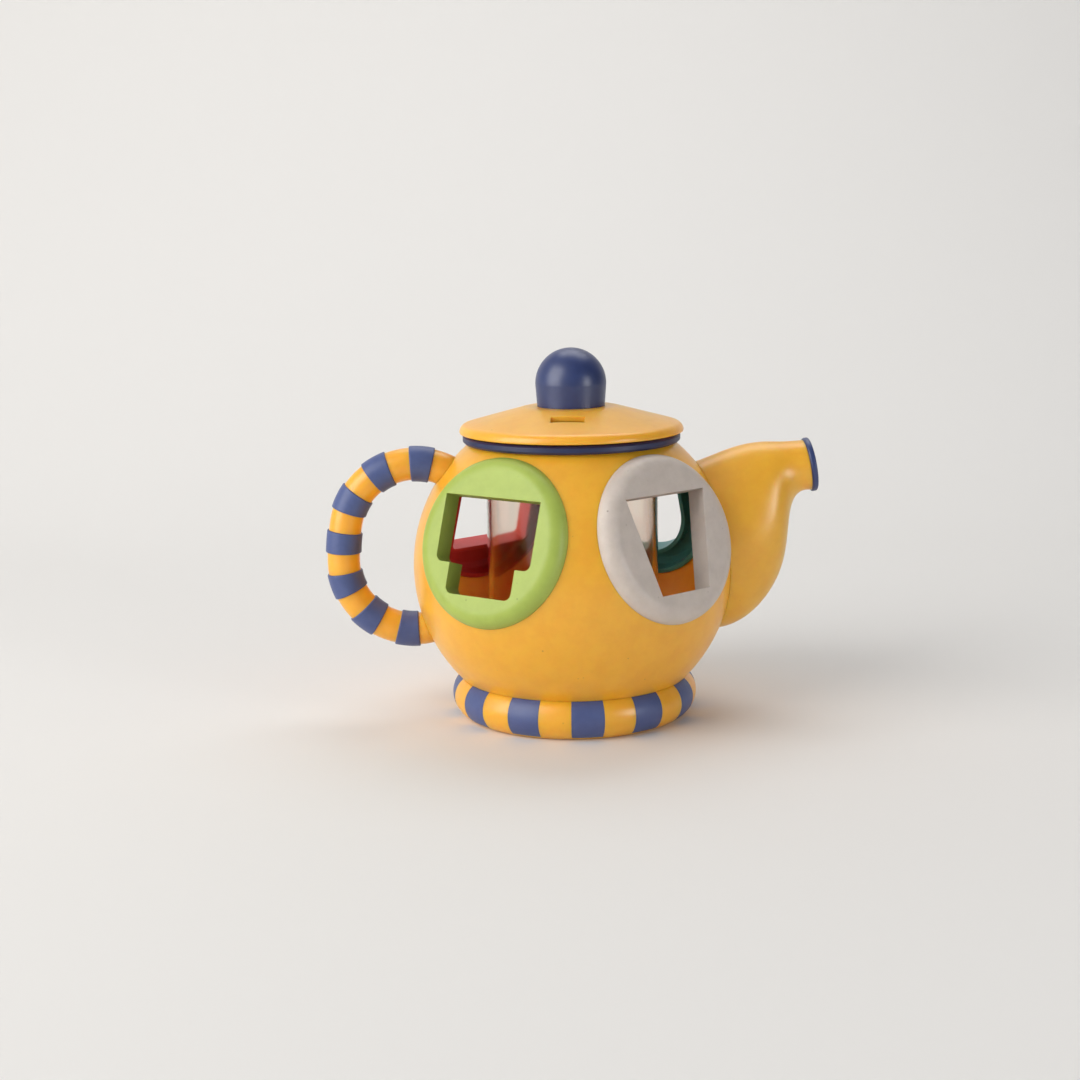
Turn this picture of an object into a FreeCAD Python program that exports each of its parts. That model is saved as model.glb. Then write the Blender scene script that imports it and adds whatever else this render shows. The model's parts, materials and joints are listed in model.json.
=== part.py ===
import FreeCAD, Part
import math
import os
import Sketcher

# Toy teapot with four posting holes, a striped foot ring, a banded handle and a lift-out
# clear canister under the lid.  Millimetres, +Z up, the origin on the table under the
# middle of the pot, +X towards the spout, -Y towards the front.

DRIVING_SIZES = {
    # round body: a ball whose bottom is cut off flat
    "body_radius": 78.3,
    "floor_level": 8.0,
    "floor_cut": 12.3,
    "shell_wall": 2.6,
    "fit_gap": 0.1,
    "running_gap": 0.3,
    # clear canister that hangs in the mouth
    "canister_radius": 40.0,
    "canister_wall": 1.6,
    "canister_lip_width": 7.0,
    "canister_lip_thickness": 1.8,
    "canister_floor_gap": 0.6,
    "canister_foot_edge": 2.0,
    # ring that lines the mouth, round the canister
    "collar_clearance": 2.4,
    "collar_skirt_wall": 2.6,
    "collar_skirt_depth": 6.0,
    "collar_overhang": 3.5,
    "collar_thickness": 4.0,
    "collar_edge": 1.0,
    "snap_bead": 1.4,
    # lid and knob
    "lid_overhang": 1.6,
    "lid_edge": 0.5,
    "lid_rim_relief": 0.5,
    "lid_rim_rounding": 4.0,
    "lid_cone_angle": 15.4,
    "lid_boss_margin": 6.1,
    "lid_wall": 2.6,
    "lid_seat_lap": 1.6,
    "plug_wall": 1.8,
    "plug_depth": 6.0,
    "slot_length": 16.0,
    "slot_width": 7.0,
    "slot_margin": 1.8,
    "knob_radius": 17.2,
    "knob_foot_radius": 16.4,
    "knob_waist": 10.9,
    # round plates that carry the posting holes
    "plate_sink": 3.6,
    "plate_wall": 2.4,
    "plate_hole_margin": 0.9,
    "plate_overhang": 1.6,
    "plate_skirt_wall": 2.0,
    "plate_skirt_reach": 11.5,
    "plate_mouth_gap": 3.4,
    "plate_gap": 13.0,
    "tunnel_depth": 10.0,
    "tunnel_wall": 2.0,
    # posting holes: heights are measured from the middle of the plate
    "hole_top": 20.2,
    "hole_bottom": 26.0,
    "cup_width": 53.4,
    "cup_step": 11.6,
    "cup_foot_width": 37.0,
    "wedge_top_width": 49.4,
    "wedge_foot_width": 30.2,
    "square_width": 46.0,
    "bowl_width": 50.0,
    "hole_corner": 3.5,
    # spout
    "spout_wall": 2.4,
    "spout_root_sink": 10.0,
    "spout_root_lift": 8.1,
    "spout_root_tall": 84.2,
    "spout_plate_lap": 0.3,
    "spout_overreach": 37.1,
    "spout_tip_rise": 38.3,
    "spout_tip_tilt": 9.4,
    "spout_neck": 24.8,
    "lip_proud": 0.9,
    "lip_thickness": 3.0,
    "lip_rounding": 1.0,
    "pour_hole": 30.0,
    # handle
    "grip_offset": 33.6,
    "grip_lift": 13.5,
    "grip_lean": 5.6,
    "grip_bend": 100.0,
    "end_bend": 34.5,
    "top_bend_sweep": 130.0,
    "foot_bend_sweep": 125.0,
    "handle_thickness": 15.8,
    "band_proud": 0.8,
    "band_rounding": 0.6,
    "band_width": 10.4,
    "band_pitch": 20.2,
    "spigot_diameter": 9.0,
    "spigot_reach": 3.0,
    # striped foot ring
    "foot_tube": 11.0,
    "foot_offset": 3.8,
    "foot_flat": 0.6,
    "foot_wall": 3.2,
    "flange_width": 23.5,
    "flange_level": 3.0,
    "flange_thickness": 2.6,
    "stripe_depth": 1.3,
    "stripe_low": 1.6,
    "stripe_angle": 15.0,
    "stripe_phase": 2.4,
    # screws
    "screw_diameter": 3.0,
    "screw_head_diameter": 6.4,
    "screw_head_height": 1.9,
    "screw_edge_distance": 6.0,
    "boss_diameter": 8.0,
    "knob_screw_length": 12.0,
}
FRONT = -90.0
BANDS_EACH_SIDE_OF_GRIP = 3
STRIPE_COUNT = 12
SCREW_COUNT = 4
FIRST_SCREW_ANGLE = 45.0
# how far a cutter runs on past what it cuts
OVERRUN = 1.0

doc = FreeCAD.newDocument("toy_teapot")
sheet = doc.addObject("Spreadsheet::Sheet", "Sizes")
for row, (alias, number) in enumerate(DRIVING_SIZES.items(), start=1):
    sheet.set("A%d" % row, alias)
    sheet.set("B%d" % row, str(number))
    sheet.setAlias("B%d" % row, alias)
doc.recompute()


class Size:
    """A number together with the sheet formula that gives it, or with none if it is free."""

    def __init__(self, number, text):
        self.number = number
        self.text = text

    def joined(self, other, number, sign):
        known = self.text is not None and other.text is not None
        return Size(number, "(%s %s %s)" % (self.text, sign, other.text) if known else None)

    def __add__(self, other):
        other = as_size(other)
        return self.joined(other, self.number + other.number, "+")

    def __sub__(self, other):
        other = as_size(other)
        return self.joined(other, self.number - other.number, "-")

    def __mul__(self, other):
        other = as_size(other)
        return self.joined(other, self.number * other.number, "*")

    def __truediv__(self, other):
        other = as_size(other)
        return self.joined(other, self.number / other.number, "/")

    def __neg__(self):
        return self * -1


def as_size(value):
    return value if isinstance(value, Size) else Size(float(value), repr(float(value)))


def size(alias):
    return Size(float(sheet.get(alias)), "Sizes." + alias)


def root(value):
    return Size(math.sqrt(value.number), "sqrt(%s)" % value.text)


def other_leg(hypotenuse, leg):
    return root(hypotenuse * hypotenuse - leg * leg)


def cosine(angle):
    return Size(math.cos(math.radians(angle.number)), "cos(%s)" % angle.text)


def sine(angle):
    return Size(math.sin(math.radians(angle.number)), "sin(%s)" % angle.text)


def arcsine(share):
    return Size(math.degrees(math.asin(share.number)), "(asin(%s) / 1deg)" % share.text)


def arccosine(share):
    return Size(math.degrees(math.acos(share.number)), "(acos(%s) / 1deg)" % share.text)


def arc_angle(length, bend):
    """The angle, in degrees, of an arc of that length and bend radius."""
    return as_size(length) / bend * math.degrees(1)


def largest(*sizes):
    return Size(max(value.number for value in sizes), "max(%s)" % "; ".join(value.text for value in sizes))


def bind(thing, **properties):
    for name, value in properties.items():
        thing.setExpression(name, as_size(value).text)


# ---- shorthand for Part primitives and booleans -------------------------------------------

def place(thing, at=(0, 0, 0), turn=None):
    at = [as_size(value) for value in at]
    spot = FreeCAD.Vector(*[value.number for value in at])
    thing.Placement = FreeCAD.Placement(spot, turn or FreeCAD.Rotation())
    for axis, value in zip("xyz", at):
        thing.setExpression("Placement.Base." + axis, value.text)
    return thing


def sphere(name, radius):
    ball = doc.addObject("Part::Sphere", name)
    bind(ball, Radius=radius)
    return place(ball, (0, 0, body_middle))


def cylinder(name, radius, height, at, turn=None):
    rod = doc.addObject("Part::Cylinder", name)
    bind(rod, Radius=radius, Height=height)
    return place(rod, at, turn)


def bent_rod(name, radius, bend, centre, start, sweep):
    """A rod bent in the XZ plane about the centre; start is measured from +Z towards -X."""
    arc = doc.addObject("Part::Torus", name)
    bind(arc, Radius1=bend, Radius2=radius, Angle3=sweep)
    upright = FreeCAD.Rotation(FreeCAD.Vector(1, 0, 0), 90)
    swing = FreeCAD.Rotation(FreeCAD.Vector(0, 1, 0), -(90 + start.number))
    return place(arc, (centre[0], 0, centre[1]), swing * upright)


def cut(name, base, *tools):
    for index, tool in enumerate(tools):
        last = index == len(tools) - 1
        step = doc.addObject("Part::Cut", name if last else name + "_less_%d" % (index + 1))
        step.Base = base
        step.Tool = tool
        base = step
    return base


def fuse(name, *shapes):
    whole = doc.addObject("Part::MultiFuse", name)
    whole.Shapes = list(shapes)
    whole.Refine = True
    return whole


def round_edges(name, base, rounding, rim):
    """Rounds the circular edges of base whose radius is the rim's."""
    doc.recompute()
    rounded = doc.addObject("Part::Fillet", name)
    rounded.Base = base
    rounded.Edges = [(number, rounding.number, rounding.number)
                     for number, edge in enumerate(base.Shape.Edges, start=1)
                     if isinstance(edge.Curve, Part.Circle)
                     and math.isclose(edge.Curve.Radius, rim.number, rel_tol=1e-4)]
    return rounded


# ---- shorthand for sketches and PartDesign bodies -----------------------------------------

def free(value):
    """A first guess for a coordinate that the rest of the outline settles."""
    return Size(as_size(value).number, None)


def tie(sketch, geometry, end, axis, value):
    value = as_size(value)
    if value.text is None:
        return
    if value.number == 0:
        sketch.addConstraint(Sketcher.Constraint("PointOnObject", geometry, end, -2 if axis == "X" else -1))
        return
    ends = (-1, 1, geometry, end) if value.number > 0 else (geometry, end, -1, 1)
    value = value if value.number > 0 else -value
    index = sketch.addConstraint(Sketcher.Constraint("Distance" + axis, *ends, value.number))
    sketch.setExpression("Constraints[%d]" % index, value.text)


def outline(body, name, role, corners, arcs=None, lift=None, swing=0.0):
    """A closed outline through the corners; arcs maps a corner's number to (centre, turns_left)."""
    arcs = arcs or {}
    sketch = body.newObject("Sketcher::SketchObject", name)
    plane = [item for item in body.Origin.OriginFeatures if item.Role == role][0]
    sketch.AttachmentSupport = (plane, [""])
    sketch.MapMode = "FlatFace"
    sketch.AttachmentOffset = FreeCAD.Placement(FreeCAD.Vector(0, 0, 0),
                                                FreeCAD.Rotation(FreeCAD.Vector(0, 1, 0), swing))
    if lift is not None:
        sketch.setExpression("AttachmentOffset.Base.z", as_size(lift).text)
    corners = [(as_size(x), as_size(y)) for x, y in corners]
    spots = [FreeCAD.Vector(x.number, y.number, 0) for x, y in corners]
    starts, ends = {}, {}
    for number, spot in enumerate(spots):
        after = spots[(number + 1) % len(spots)]
        starts[number], ends[number] = 1, 2
        if number not in arcs:
            sketch.addGeometry(Part.LineSegment(spot, after), False)
            continue
        (centre_x, centre_y), turns_left = arcs[number]
        centre = FreeCAD.Vector(as_size(centre_x).number, as_size(centre_y).number, 0)
        first, second = (spot, after) if turns_left else (after, spot)
        if not turns_left:
            starts[number], ends[number] = 2, 1
        angles = [math.atan2((p - centre).y, (p - centre).x) for p in (first, second)]
        circle = Part.Circle(centre, FreeCAD.Vector(0, 0, 1), (spot - centre).Length)
        sketch.addGeometry(Part.ArcOfCircle(circle, *angles), False)
    for number, (x, y) in enumerate(corners):
        after = (number + 1) % len(corners)
        sketch.addConstraint(Sketcher.Constraint("Coincident", number, ends[number], after, starts[after]))
        tie(sketch, number, starts[number], "X", x)
        tie(sketch, number, starts[number], "Y", y)
    for number, ((centre_x, centre_y), _) in arcs.items():
        tie(sketch, number, 3, "X", centre_x)
        tie(sketch, number, 3, "Y", centre_y)
    return sketch


def rounded(corners, radii):
    """Rounds the square corners numbered in radii; gives the new corners and their arcs."""
    points, arcs = [], {}
    count = len(corners)
    for number, (x, y) in enumerate(corners):
        if number not in radii:
            points.append((x, y))
            continue
        here, before, after = [[as_size(value) for value in corners[index % count]]
                               for index in (number, number - 1, number + 1)]
        radius = as_size(radii[number])
        level = abs(here[0].number - before[0].number) > abs(here[1].number - before[1].number)
        along, across = (0, 1) if level else (1, 0)
        come = math.copysign(1, here[along].number - before[along].number)
        leave = math.copysign(1, after[across].number - here[across].number)
        start, end = list(here), list(here)
        start[along] = here[along] - radius * come
        end[across] = here[across] + radius * leave
        centre = (start[0], end[1]) if level else (end[0], start[1])
        end[along] = free(end[along])
        turns_left = come * leave > 0 if level else come * leave < 0
        arcs[len(points)] = (centre, turns_left)
        points += [tuple(start), tuple(end)]
    return points, arcs


def new_body(name):
    return doc.addObject("PartDesign::Body", name)


def turned(body, name, sketch, angle=360.0, kind="Revolution"):
    """Revolves a sketch about its own upright axis, half of the angle to each side."""
    feature = body.newObject("PartDesign::" + kind, name)
    feature.Profile = sketch
    feature.ReferenceAxis = (sketch, ["V_Axis"])
    feature.Midplane = True
    bind(feature, Angle=angle)
    sketch.Visibility = False
    return feature


body_radius = size("body_radius")
shell_wall = size("shell_wall")
inner_radius = body_radius - shell_wall
floor_level = size("floor_level")
body_middle = floor_level + body_radius - size("floor_cut")
fit_gap = size("fit_gap")
running_gap = size("running_gap")
nodes = {}

# the canister sets the collar's bore, and the collar's skirt sets where the ball is cut open
canister_radius = size("canister_radius")
collar_bore = canister_radius + size("collar_clearance")
collar_skirt_radius = collar_bore + size("collar_skirt_wall")
mouth_rise = other_leg(inner_radius, collar_skirt_radius + fit_gap)
mouth_level = body_middle + mouth_rise
collar_radius = other_leg(body_radius, mouth_rise) + size("collar_overhang")


# ---- port plates ------------------------------------------------------------------------

hole_top = size("hole_top")
hole_bottom = -size("hole_bottom")
tunnel_wall = size("tunnel_wall")


def corner_distance(width, height):
    """From the plate's middle to the outside of a tunnel's corner."""
    across = size(width) / 2 + tunnel_wall
    up = height + tunnel_wall
    return root(across * across + up * up)


widest_tunnel = largest(corner_distance("cup_width", hole_top),
                        corner_distance("wedge_top_width", hole_top),
                        corner_distance("square_width", size("hole_bottom")),
                        corner_distance("bowl_width", hole_top))
plate_skirt_radius = widest_tunnel + size("plate_hole_margin")
plate_radius = plate_skirt_radius + size("plate_overhang")
plate_face = body_radius - size("plate_sink")
plate_seat = other_leg(body_radius, plate_radius)
plate_edge = plate_face - plate_seat
plate_under = plate_face - size("plate_wall")
plate_skirt_bore = plate_skirt_radius - size("plate_skirt_wall")
plate_skirt_end = plate_face - size("plate_skirt_reach")
window_radius = plate_skirt_radius + fit_gap

# angles at the ball's middle: a plate's half, its tilt under the mouth, its swing from the front
plate_half = arcsine(plate_radius / body_radius)
plate_tilt = arcsine(mouth_rise / body_radius) - plate_half - arc_angle(size("plate_mouth_gap"), body_radius)
apart = plate_half * 2 + arc_angle(size("plate_gap"), body_radius)
plate_swing = arccosine((cosine(apart) - sine(plate_tilt) * sine(plate_tilt))
                        / (cosine(plate_tilt) * cosine(plate_tilt))) / 2
FRONT_RIGHT, FRONT_LEFT = plate_swing.number, -plate_swing.number
REAR_RIGHT, REAR_LEFT = 180 - plate_swing.number, plate_swing.number - 180


def plate_turn(azimuth):
    """Turns +Z outwards along a port's axis, with +Y as near to up as that allows."""
    lean = FreeCAD.Rotation(FreeCAD.Vector(1, 0, 0), 90 - plate_tilt.number)
    return FreeCAD.Rotation(FreeCAD.Vector(0, 0, 1), azimuth) * lean


def plate_disc(body):
    """Flat face, rounded edge seated on the ball, and a skirt with a bead behind the window."""
    bead = size("snap_bead") / 2
    bead_top = other_leg(inner_radius, plate_skirt_radius + bead) - fit_gap
    inner_shoulder = plate_radius - plate_edge
    corners = [
        (0, plate_face),
        (inner_shoulder, plate_face),
        (free(plate_radius), plate_seat),
        (plate_skirt_radius, other_leg(body_radius, plate_skirt_radius)),
        (plate_skirt_radius, bead_top),
        (plate_skirt_radius + bead, bead_top - bead),
        (plate_skirt_radius, bead_top - bead * 2),
        (plate_skirt_radius, plate_skirt_end),
        (plate_skirt_bore, plate_skirt_end),
        (plate_skirt_bore, plate_under - size("plate_wall")),
        (plate_skirt_bore - size("plate_wall"), plate_under),
        (0, plate_under),
    ]
    arcs = {1: ((inner_shoulder, plate_seat), False)}
    sketch = outline(body, body.Name + "_disc_outline", "XZ_Plane", corners, arcs)
    return turned(body, body.Name + "_disc", sketch)


def grown(corners, wall):
    """The corners of an upright outline moved outwards by the tunnel's wall."""
    moved = []
    for x, y in corners:
        x, y = as_size(x), as_size(y)
        moved.append((x + wall if x.number > 0 else x - wall, y + wall if y.number > 0 else y - wall))
    return moved


def plate(name, azimuth, corners, radii=None, arcs=None):
    """A plate with a posting hole through it and a short tunnel wall behind the hole."""
    body = new_body(name)
    plate_disc(body)
    depth = size("tunnel_depth")
    sleeve = outline(body, name + "_sleeve_outline", "XY_Plane", grown(corners, tunnel_wall),
                     arcs, lift=plate_face - depth)
    pad = body.newObject("PartDesign::Pad", name + "_sleeve")
    pad.Profile = sleeve
    bind(pad, Length=depth - size("plate_wall") / 2)
    if radii:
        corners, arcs = rounded(corners, radii)
    hole = outline(body, name + "_hole_outline", "XY_Plane", corners, arcs, lift=plate_face + OVERRUN)
    pocket = body.newObject("PartDesign::Pocket", name + "_hole")
    pocket.Profile = hole
    bind(pocket, Length=depth + OVERRUN * 2)
    nodes[name] = place(body, (0, 0, body_middle), plate_turn(azimuth))


def mirrored(right_side):
    """Completes an outline that is the same on both sides of its middle."""
    return right_side + [(-x, y) for x, y in reversed(right_side)]


def port_plates():
    corner = size("hole_corner")
    cup = size("cup_width") / 2
    cup_foot = size("cup_foot_width") / 2
    step = -size("cup_step")
    plate("port_plate_green", FRONT_LEFT, mirrored([
        (cup_foot, hole_bottom), (cup_foot, step), (cup, step), (cup, hole_top)]),
        radii={0: corner, 2: corner, 5: corner, 7: corner})
    plate("port_plate_beige", FRONT_RIGHT, mirrored([
        (size("wedge_foot_width") / 2, hole_bottom), (size("wedge_top_width") / 2, hole_top)]))
    square = size("square_width") / 2
    plate("port_plate_red", REAR_LEFT, mirrored([(square, hole_bottom), (square, hole_top)]),
          radii={0: corner, 1: corner, 2: corner, 3: corner})
    bowl = size("bowl_width") / 2
    bowl_middle = hole_bottom + bowl
    plate("port_plate_teal", REAR_RIGHT, [
        (-bowl, hole_top), (-bowl, bowl_middle), (free(bowl), bowl_middle), (bowl, hole_top)],
        arcs={1: ((0, bowl_middle), True)})


# ---- body --------------------------------------------------------------------------------

def port_axis_rod(name, azimuth, radius):
    """A rod along a port's axis, from the middle of the ball to the outside of its wall."""
    return cylinder(name, radius, body_radius, (0, 0, body_middle), plate_turn(azimuth))


spout_root_level = body_middle + size("spout_root_lift")
spigot_radius = size("spigot_diameter") / 2
flange_top = size("flange_level") + size("flange_thickness")
boss_depth = floor_level + shell_wall / 2 - flange_top
boss_radius = size("boss_diameter") / 2
foot_middle = size("foot_tube") - size("foot_flat")
foot_radius = other_leg(body_radius, body_middle - foot_middle) + size("foot_offset")
flange_inner = foot_radius - size("flange_width")
screw_ring_radius = flange_inner + size("screw_edge_distance")
screw_radius = size("screw_diameter") / 2


def screw_spots():
    """The number and place of each base screw, spaced evenly round the pot's axis."""
    for index in range(SCREW_COUNT):
        angle = as_size(FIRST_SCREW_ANGLE + index * 360.0 / SCREW_COUNT)
        yield index + 1, screw_ring_radius * cosine(angle), screw_ring_radius * sine(angle)


def body_shell():
    """A hollow ball with a floor, an open mouth, windows, sockets and screw bosses."""
    across = body_radius * 2
    cavity_level = floor_level + shell_wall
    outside = cut("shell_outside", sphere("shell_ball", body_radius),
                  cylinder("shell_below", body_radius, across, (0, 0, floor_level - across)),
                  cylinder("shell_above", body_radius, across, (0, 0, mouth_level)))
    cavity = cut("shell_cavity", sphere("shell_hollow", inner_radius),
                 cylinder("cavity_below", body_radius, across, (0, 0, cavity_level - across)))
    shell = cut("shell_walls", outside, cavity)
    bosses = [cylinder("boss_%d" % number, boss_radius, boss_depth, (x, y, flange_top))
              for number, x, y in screw_spots()]
    solid = fuse("shell_with_bosses", shell, *bosses)
    openings = [port_axis_rod("window_%d" % number, azimuth, window_radius)
                for number, azimuth in enumerate((FRONT_LEFT, FRONT_RIGHT, REAR_LEFT, REAR_RIGHT))]
    openings.append(cylinder("pour_hole", size("pour_hole") / 2, across, (0, 0, spout_root_level),
                             FreeCAD.Rotation(FreeCAD.Vector(0, 1, 0), 90)))
    openings += handle_ends("spigot_bore", spigot_radius + fit_gap)
    openings += [cylinder("pilot_%d" % number, screw_radius, boss_depth, (x, y, flange_top))
                 for number, x, y in screw_spots()]
    nodes["body_shell"] = cut("body_shell", solid, *openings)


canister_lip = canister_radius + size("canister_lip_width")


def mouth_collar():
    """The ring that caps the raw edge of the mouth and carries the canister."""
    body = new_body("mouth_collar")
    top = mouth_level + size("collar_thickness")
    bore = collar_bore
    rebate_radius = canister_lip + running_gap
    rebate_level = top + running_gap - size("canister_lip_thickness")
    skirt_end = mouth_level - size("collar_skirt_depth")
    bead = size("snap_bead")
    rounding = size("collar_edge")
    edge = collar_radius
    corners = [
        (bore, skirt_end), (collar_skirt_radius, skirt_end),
        (collar_skirt_radius + bead, skirt_end + bead), (collar_skirt_radius, skirt_end + bead * 2),
        (collar_skirt_radius, mouth_level), (edge - rounding, mouth_level),
        (edge, mouth_level + rounding), (edge, top - rounding), (edge - rounding, top),
        (rebate_radius, top), (rebate_radius, rebate_level), (bore, rebate_level),
    ]
    turned(body, "collar_ring", outline(body, "collar_outline", "XZ_Plane", corners))
    nodes["mouth_collar"] = body


# ---- canister, lid and knob --------------------------------------------------------------

lid_level = mouth_level + size("collar_thickness") + running_gap
canister_bore = canister_radius - size("canister_wall")


def canister():
    """A clear cup with a lip, hung in the mouth."""
    body = new_body("canister")
    foot = floor_level + shell_wall + size("canister_floor_gap")
    lip = canister_lip
    under_lip = lid_level - size("canister_lip_thickness")
    inside = foot + size("canister_wall")
    edge = size("canister_foot_edge")
    inner_edge = edge / 2
    corners = [
        (0, foot), (canister_radius - edge, foot), (canister_radius, foot + edge),
        (canister_radius, under_lip), (lip, under_lip), (lip, lid_level), (canister_bore, lid_level),
        (canister_bore, inside + inner_edge), (canister_bore - inner_edge, inside), (0, inside),
    ]
    turned(body, "canister_cup", outline(body, "canister_outline", "XZ_Plane", corners))
    nodes["canister"] = body


def lid():
    """A shallow cone with a rounded rim and a slot, and a separate ring that plugs the canister."""
    body = new_body("lid_form")
    rim = collar_radius + size("lid_overhang")
    edge = size("lid_edge")
    rim_level = lid_level + size("lid_rim_relief")
    rounding = size("lid_rim_rounding")
    lean = size("lid_cone_angle")
    boss = size("knob_foot_radius") + size("lid_boss_margin")
    rim_middle = (rim - rounding, rim_level + edge)
    shoulder = rim_middle[0] + rounding * sine(lean)
    shoulder_level = rim_middle[1] + rounding * cosine(lean)
    slope = sine(lean) / cosine(lean)
    top = shoulder_level + slope * (shoulder - boss)
    under = top - size("lid_wall")

    def ceiling(radius):
        return under - slope * (radius - boss)

    seat_inner = canister_lip - size("lid_seat_lap")
    seat_outer = canister_lip + running_gap
    corners = [
        (seat_inner, ceiling(seat_inner)), (seat_inner, lid_level), (seat_outer, lid_level),
        (seat_outer, rim_level), (rim - edge, rim_level), (free(rim), rim_level + edge),
        (shoulder, shoulder_level), (boss, top), (0, top), (0, under), (boss, under),
    ]
    turned(body, "lid_turn", outline(body, "lid_outline", "XZ_Plane", corners, {5: (rim_middle, True)}))

    plug_outer = canister_bore - running_gap
    plug_inner = plug_outer - size("plug_wall")
    plug_end = lid_level - size("plug_depth")
    plug = new_body("lid_plug")
    turned(plug, "plug_turn", outline(plug, "plug_outline", "XZ_Plane", [
        (plug_inner, plug_end), (plug_outer, plug_end),
        (plug_outer, ceiling(plug_outer)), (plug_inner, ceiling(plug_inner))]))
    nodes["lid_plug"] = plug

    half_length = size("slot_length") / 2
    far = plug_inner - size("slot_margin")
    near = far - size("slot_width")
    slot = outline(body, "slot_outline", "XY_Plane",
                   [(-half_length, -far), (half_length, -far), (half_length, -near), (-half_length, -near)],
                   lift=top + OVERRUN)
    pocket = body.newObject("PartDesign::Pocket", "lid_slot")
    pocket.Profile = slot
    bind(pocket, Length=top - lid_level + OVERRUN)
    screw_hole = cylinder("lid_screw_hole", screw_radius + running_gap, top - lid_level, (0, 0, lid_level))
    nodes["lid_shell"] = cut("lid_shell", body, screw_hole)
    knob(top)
    nodes["knob_screw"] = screw("knob_screw", (0, 0, under), size("knob_screw_length"))


def knob(seat):
    """A ball whose lower part is nearly straight, down to the lid."""
    body = new_body("knob_form")
    ball = size("knob_radius")
    middle = seat + size("knob_waist")
    corners = [(0, seat), (size("knob_foot_radius"), seat), (ball, middle), (0, free(middle + ball))]
    arcs = {2: ((0, middle), True)}
    turned(body, "knob_ball", outline(body, "knob_outline", "XZ_Plane", corners, arcs))
    depth = size("knob_screw_length") - size("lid_wall") + OVERRUN
    pilot = cylinder("knob_pilot", screw_radius, depth, (0, 0, seat))
    nodes["knob"] = cut("knob", body, pilot)


def screw(name, at, length):
    """A pan-head screw pointing up from the face it bears on."""
    x, y, z = at
    head = cylinder(name + "_head", size("screw_head_diameter") / 2, size("screw_head_height"),
                    (x, y, z - size("screw_head_height")))
    shank = cylinder(name + "_shank", screw_radius, length, (x, y, z))
    return fuse(name, head, shank)


# ---- spout -------------------------------------------------------------------------------

spout_reach = body_radius + size("spout_overreach")
# the root fits between the two plates beside it
plate_lean = cosine(plate_tilt) * cosine(plate_swing)
spout_root_half_width = (plate_seat * plate_lean - plate_radius * root(as_size(1) - plate_lean * plate_lean)
                         + size("spout_plate_lap"))


def ring_section(name, x, z, upright, across, tilt):
    """An upright ellipse facing the spout's tip, leaning back by tilt degrees."""
    ellipse = doc.addObject("Part::Ellipse", name)
    ellipse.Angle1 = 0
    ellipse.Angle2 = 360
    bind(ellipse, MajorRadius=upright, MinorRadius=across)
    stand = FreeCAD.Rotation(FreeCAD.Vector(0, 1, 0), -(90 + tilt))
    return place(ellipse, (x, 0, z), stand)


def spout_loft(name, inset):
    """The spout's form: a tall oval on the ball that draws in to a round neck."""
    neck = size("spout_neck") / 2
    tall = size("spout_root_tall") / 2
    tip_tilt = size("spout_tip_tilt").number
    # share of the way from the root to the tip, share of the rise, oval's share of the taper, lean
    stations = [
        (-0.38, 0.00, 0.98, 0.0),
        (0.00, 0.00, 1.00, 8.0),
        (0.305, 0.17, 0.955, 9.0),
        (0.575, 0.45, 0.70, 11.0),
        (0.70, 0.72, 0.36, 11.0),
        (0.793, 0.92, 0.09, 10.0),
        (1.00, 1.00, 0.00, tip_tilt),
    ]
    start = body_radius - size("spout_root_sink")
    rings = []
    for number, (way, rise, share, tilt) in enumerate(stations):
        upright = neck + (tall - neck) * share - inset
        across = neck + (spout_root_half_width - neck) * share - inset
        rings.append(ring_section("%s_section_%d" % (name, number), start + (spout_reach - start) * way,
                                  spout_root_level + size("spout_tip_rise") * rise, upright, across, tilt))
    loft = doc.addObject("Part::Loft", name)
    loft.Sections = rings
    loft.Solid = True
    loft.Ruled = False
    return loft


def spout():
    outside = spout_loft("spout_outside", 0)
    inside = spout_loft("spout_inside", size("spout_wall"))
    seat = sphere("spout_seat", body_radius)
    nodes["spout_shell"] = cut("spout_shell", outside, inside, seat)
    lip_bore = size("spout_neck") / 2 - size("spout_wall")
    lean = FreeCAD.Rotation(FreeCAD.Vector(0, 1, 0), 90 - size("spout_tip_tilt").number)
    lip_radius = size("spout_neck") / 2 + size("lip_proud")
    at = (spout_reach, 0, spout_root_level + size("spout_tip_rise"))
    disc = cylinder("lip_disc", lip_radius, size("lip_thickness"), at, lean)
    lip = cut("lip_ring", disc, cylinder("lip_bore", lip_bore, size("lip_thickness"), at, lean))
    nodes["spout_lip"] = round_edges("spout_lip", lip, size("lip_rounding"), lip_radius)


# ---- handle: a gentle grip arc that runs tangent into a tighter bend at each end -----------

grip_bend = size("grip_bend")
end_bend = size("end_bend")
grip_angle = as_size(90) - size("grip_lean")
half_grip = arc_angle(size("band_pitch") / 2, grip_bend)
grip_centre = (grip_bend * sine(grip_angle) - body_radius - size("grip_offset"),
               body_middle + size("grip_lift") - grip_bend * cosine(grip_angle))


def end_centre(angle):
    """The middle of an end bend that meets the grip arc, tangent, at that angle."""
    reach = grip_bend - end_bend
    return grip_centre[0] - reach * sine(angle), grip_centre[1] + reach * cosine(angle)


def handle_ends(name, radius):
    """Rods along the two end bends, from the grip to inside the ball."""
    top = grip_angle - half_grip
    foot = grip_angle + half_grip
    top_sweep = size("top_bend_sweep")
    return [bent_rod(name + "_top", radius, end_bend, end_centre(top), top - top_sweep, top_sweep),
            bent_rod(name + "_foot", radius, end_bend, end_centre(foot), foot, size("foot_bend_sweep"))]


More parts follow.
